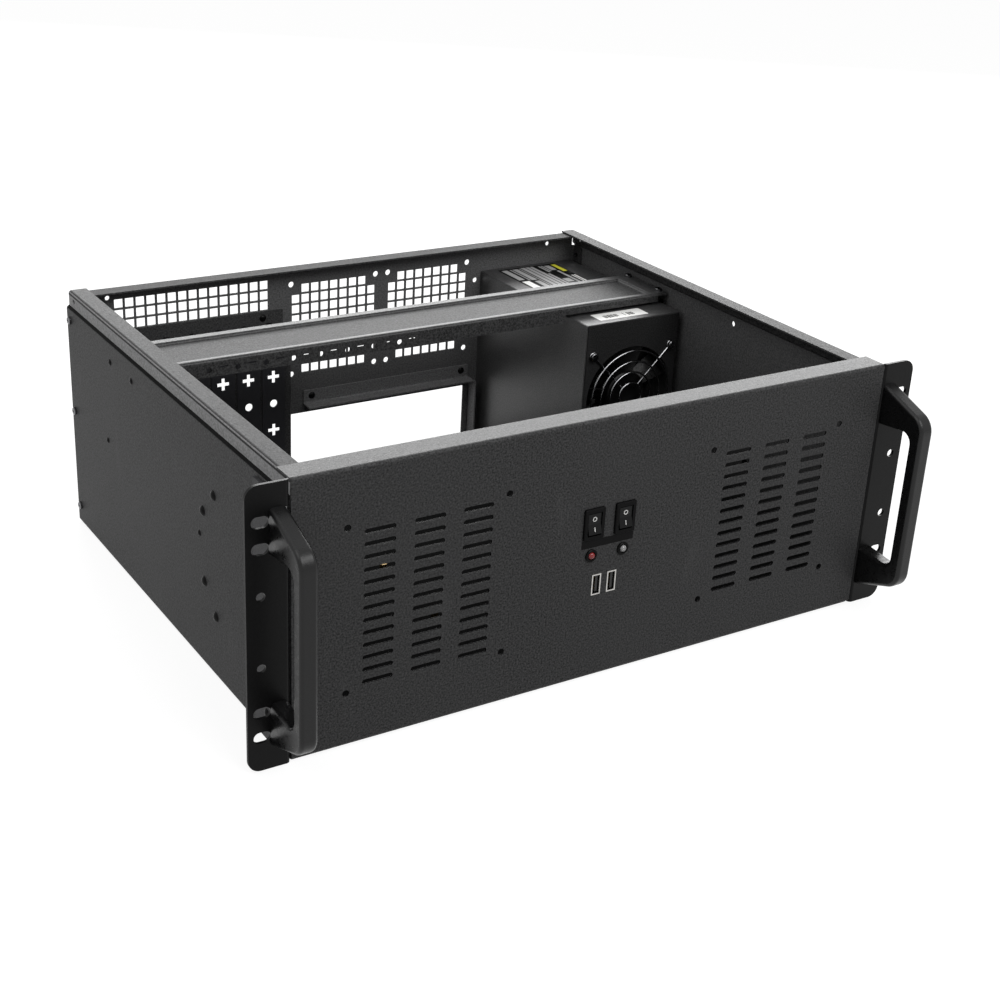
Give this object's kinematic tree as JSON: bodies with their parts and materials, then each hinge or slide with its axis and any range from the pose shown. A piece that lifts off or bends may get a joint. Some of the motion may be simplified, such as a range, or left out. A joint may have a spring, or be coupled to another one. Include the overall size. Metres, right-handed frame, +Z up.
{
  "type": "rackmount server case",
  "caption": "Rackmount server case of folded sheet steel, open at the top, with rack ears, bow handles, vent slots, crossbar, slot covers and an upright power supply.",
  "frame": {"origin": "middle of the underside, half way between the front face and the rear face", "axes": "+X along the front to the right seen from the front, +Y from the front face to the rear, +Z up"},
  "size_m": [0.4826, 0.4005, 0.177],
  "materials": {
    "case_paint": "black fine-textured powder coat",
    "cover_paint": "black fine-textured powder coat",
    "rivet_black": "black painted rivets",
    "supply_paint": "black paint",
    "handle_black": "black moulded, slightly glossy",
    "screw_steel": "plated steel",
    "switch_black": "black moulded",
    "rocker_black": "black moulded with white marks",
    "terminal_brass": "plain",
    "lamp_holder_black": "black moulded",
    "lamp_red": "clear red resin",
    "lamp_clear": "clear resin",
    "socket_shell": "plated steel",
    "socket_black": "black moulded",
    "board_green": "green solder mask",
    "fan_black": "black moulded",
    "fan_rotor_black": "black moulded",
    "guard_wire": "black painted wire",
    "inlet_black": "black moulded",
    "standoff_brass": "turned brass"
  },
  "bodies": {
    "case": {"board_standoffs": "standoff_brass", "bracket_rivets": "rivet_black", "chassis": "case_paint", "clear_lamp": "lamp_clear", "clear_lamp_holder": "lamp_holder_black", "crossbar": "case_paint", "crossbar_bracket_left": "case_paint", "crossbar_bracket_right": "case_paint", "crossbar_screws": "screw_steel", "ear_rivets": "rivet_black", "frame_rivets": "rivet_black", "front_panel": "case_paint", "guard_screws": "screw_steel", "handle_left": "handle_black", "handle_right": "handle_black", "handle_screws": "screw_steel", "port_frame": "case_paint", "power_switch_body": "switch_black", "rack_ear_left": "case_paint", "rack_ear_right": "case_paint", "rear_panel": "case_paint", "rear_panel_screws": "screw_steel", "red_lamp": "lamp_red", "red_lamp_holder": "lamp_holder_black", "reset_switch_body": "switch_black", "side_rivets": "rivet_black", "slot_cover_1": "cover_paint", "slot_cover_2": "cover_paint", "slot_cover_3": "cover_paint", "slot_cover_4": "cover_paint", "slot_cover_5": "cover_paint", "slot_cover_6": "cover_paint", "slot_cover_7": "cover_paint", "slot_frame": "case_paint", "slot_screws": "screw_steel", "supply_case": "supply_paint", "supply_fan_frame": "fan_black", "supply_fan_guard": "guard_wire", "supply_inlet": "inlet_black", "supply_lid": "supply_paint", "supply_screws": "screw_steel", "supply_switch_body": "switch_black", "switch_terminals": "terminal_brass", "usb_board": "board_green", "usb_shell_left": "socket_shell", "usb_shell_right": "socket_shell", "usb_tongue_left": "socket_black", "usb_tongue_right": "socket_black"},
    "reset_button": {"reset_rocker": "rocker_black"},
    "power_button": {"power_rocker": "rocker_black"},
    "supply_switch": {"supply_rocker": "rocker_black"},
    "fan": {"supply_fan_rotor": "fan_rotor_black"}
  },
  "joints": [
    {"name": "reset_tilt", "type": "hinge", "parent": "case", "child": "reset_button", "pos_m": [-0.0135, -0.1792, 0.109], "axis": [1, 0, 0], "range_deg": [0, 14], "stiffness_Nm_per_rad": 0.03, "springref_deg": -5.73},
    {"name": "power_tilt", "type": "hinge", "parent": "case", "child": "power_button", "pos_m": [0.0096, -0.1792, 0.109], "axis": [1, 0, 0], "range_deg": [0, 14], "stiffness_Nm_per_rad": 0.03, "springref_deg": -5.73},
    {"name": "supply_switch_tilt", "type": "hinge", "parent": "case", "child": "supply_switch", "pos_m": [0.166, 0.178, 0.058], "axis": [0, 0, 1], "range_deg": [0, 14]},
    {"name": "fan_spin", "type": "hinge", "parent": "case", "child": "fan", "pos_m": [0.166, 0.042, 0.0908], "axis": [0, 1, 0], "continuous": true}
  ]
}
